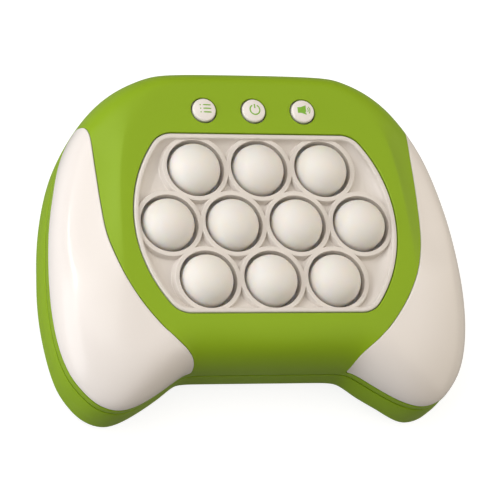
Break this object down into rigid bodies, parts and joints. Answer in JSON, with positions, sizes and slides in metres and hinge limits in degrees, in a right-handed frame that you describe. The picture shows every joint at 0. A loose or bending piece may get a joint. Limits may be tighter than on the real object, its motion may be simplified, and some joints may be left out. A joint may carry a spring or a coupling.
{
  "type": "electronic bubble pop game",
  "caption": "Hand-held electronic bubble pop game: two-grip casing with press-down silicone bubbles in a sunken window, push buttons above them, and a battery door in the back.",
  "frame": {"origin": "on the flat back face, in the middle of the outline, so the game lies on its back on z = 0", "axes": "+X to the player's right, +Y up the face towards the push buttons, +Z out of the face"},
  "size_m": [0.1362, 0.1086, 0.0375],
  "materials": {
    "casing_green": "satin injection-moulded ABS",
    "grip_cream": "glossy injection-moulded ABS",
    "panel_cream": "satin injection-moulded ABS",
    "silicone": "matte moulded silicone, slightly translucent",
    "button_cream": "smooth moulded ABS",
    "switch_black": "moulded switch housing",
    "switch_plunger": "moulded switch plunger",
    "board_green": "glass-fibre board with solder mask",
    "chip_black": "moulded chip package",
    "screw_steel": "zinc-plated steel",
    "cell_wrap": "plain wrapped steel can",
    "contact_steel": "nickel-plated steel",
    "speaker_steel": "pressed steel",
    "speaker_paper": "pressed paper cone",
    "wire_red": "PVC insulation"
  },
  "bodies": {
    "housing": {"front_casing": "casing_green", "back_casing": "casing_green", "left_grip_cover": "grip_cream", "right_grip_cover": "grip_cream", "bubble_panel": "panel_cream", "bubble_sheet": "silicone", "mode_switch": "switch_black", "power_switch": "switch_black", "sound_switch": "switch_black", "circuit_board": "board_green", "control_chip": "chip_black", "casing_screw_1": "screw_steel", "casing_screw_2": "screw_steel", "casing_screw_3": "screw_steel", "casing_screw_4": "screw_steel", "casing_screw_5": "screw_steel", "casing_screw_6": "screw_steel", "board_screw_1": "screw_steel", "board_screw_2": "screw_steel", "board_screw_3": "screw_steel", "board_screw_4": "screw_steel", "battery_cell_1": "cell_wrap", "battery_cell_2": "cell_wrap", "battery_cell_3": "cell_wrap", "battery_spring_1": "contact_steel", "battery_spring_2": "contact_steel", "battery_spring_3": "contact_steel", "battery_contact_1": "contact_steel", "battery_contact_2": "contact_steel", "battery_contact_3": "contact_steel", "speaker_frame": "speaker_steel", "speaker_cone": "speaker_paper", "speaker_magnet": "speaker_steel", "speaker_wire_1": "wire_red", "speaker_wire_2": "wire_red", "battery_wire_1": "wire_red", "battery_wire_2": "wire_red"},
    "bubble_1_body": {"bubble_1": "silicone"},
    "bubble_2_body": {"bubble_2": "silicone"},
    "bubble_3_body": {"bubble_3": "silicone"},
    "bubble_4_body": {"bubble_4": "silicone"},
    "bubble_5_body": {"bubble_5": "silicone"},
    "bubble_6_body": {"bubble_6": "silicone"},
    "bubble_7_body": {"bubble_7": "silicone"},
    "bubble_8_body": {"bubble_8": "silicone"},
    "bubble_9_body": {"bubble_9": "silicone"},
    "bubble_10_body": {"bubble_10": "silicone"},
    "mode_button_body": {"mode_button": "button_cream", "mode_switch_plunger": "switch_plunger"},
    "power_button_body": {"power_button": "button_cream", "power_switch_plunger": "switch_plunger"},
    "sound_button_body": {"sound_button": "button_cream", "sound_switch_plunger": "switch_plunger"},
    "battery_door_body": {"battery_door": "casing_green", "battery_door_screw": "screw_steel"}
  },
  "joints": [
    {"name": "bubble_1_press", "type": "slide", "parent": "housing", "child": "bubble_1_body", "axis": [0, 0, -1], "range_m": [0, 0.003], "stiffness_N_per_m": 500},
    {"name": "bubble_2_press", "type": "slide", "parent": "housing", "child": "bubble_2_body", "axis": [0, 0, -1], "range_m": [0, 0.003], "stiffness_N_per_m": 500},
    {"name": "bubble_3_press", "type": "slide", "parent": "housing", "child": "bubble_3_body", "axis": [0, 0, -1], "range_m": [0, 0.003], "stiffness_N_per_m": 500},
    {"name": "bubble_4_press", "type": "slide", "parent": "housing", "child": "bubble_4_body", "axis": [0, 0, -1], "range_m": [0, 0.003], "stiffness_N_per_m": 500},
    {"name": "bubble_5_press", "type": "slide", "parent": "housing", "child": "bubble_5_body", "axis": [0, 0, -1], "range_m": [0, 0.003], "stiffness_N_per_m": 500},
    {"name": "bubble_6_press", "type": "slide", "parent": "housing", "child": "bubble_6_body", "axis": [0, 0, -1], "range_m": [0, 0.003], "stiffness_N_per_m": 500},
    {"name": "bubble_7_press", "type": "slide", "parent": "housing", "child": "bubble_7_body", "axis": [0, 0, -1], "range_m": [0, 0.003], "stiffness_N_per_m": 500},
    {"name": "bubble_8_press", "type": "slide", "parent": "housing", "child": "bubble_8_body", "axis": [0, 0, -1], "range_m": [0, 0.003], "stiffness_N_per_m": 500},
    {"name": "bubble_9_press", "type": "slide", "parent": "housing", "child": "bubble_9_body", "axis": [0, 0, -1], "range_m": [0, 0.003], "stiffness_N_per_m": 500},
    {"name": "bubble_10_press", "type": "slide", "parent": "housing", "child": "bubble_10_body", "axis": [0, 0, -1], "range_m": [0, 0.003], "stiffness_N_per_m": 500},
    {"name": "mode_button_press", "type": "slide", "parent": "housing", "child": "mode_button_body", "axis": [0, 0, -1], "range_m": [0, 0.0009], "stiffness_N_per_m": 2000},
    {"name": "power_button_press", "type": "slide", "parent": "housing", "child": "power_button_body", "axis": [0, 0, -1], "range_m": [0, 0.0009], "stiffness_N_per_m": 2000},
    {"name": "sound_button_press", "type": "slide", "parent": "housing", "child": "sound_button_body", "axis": [0, 0, -1], "range_m": [0, 0.0009], "stiffness_N_per_m": 2000},
    {"name": "battery_door_lift", "type": "slide", "parent": "housing", "child": "battery_door_body", "axis": [0, 0, -1], "range_m": [0, 0.03]}
  ]
}
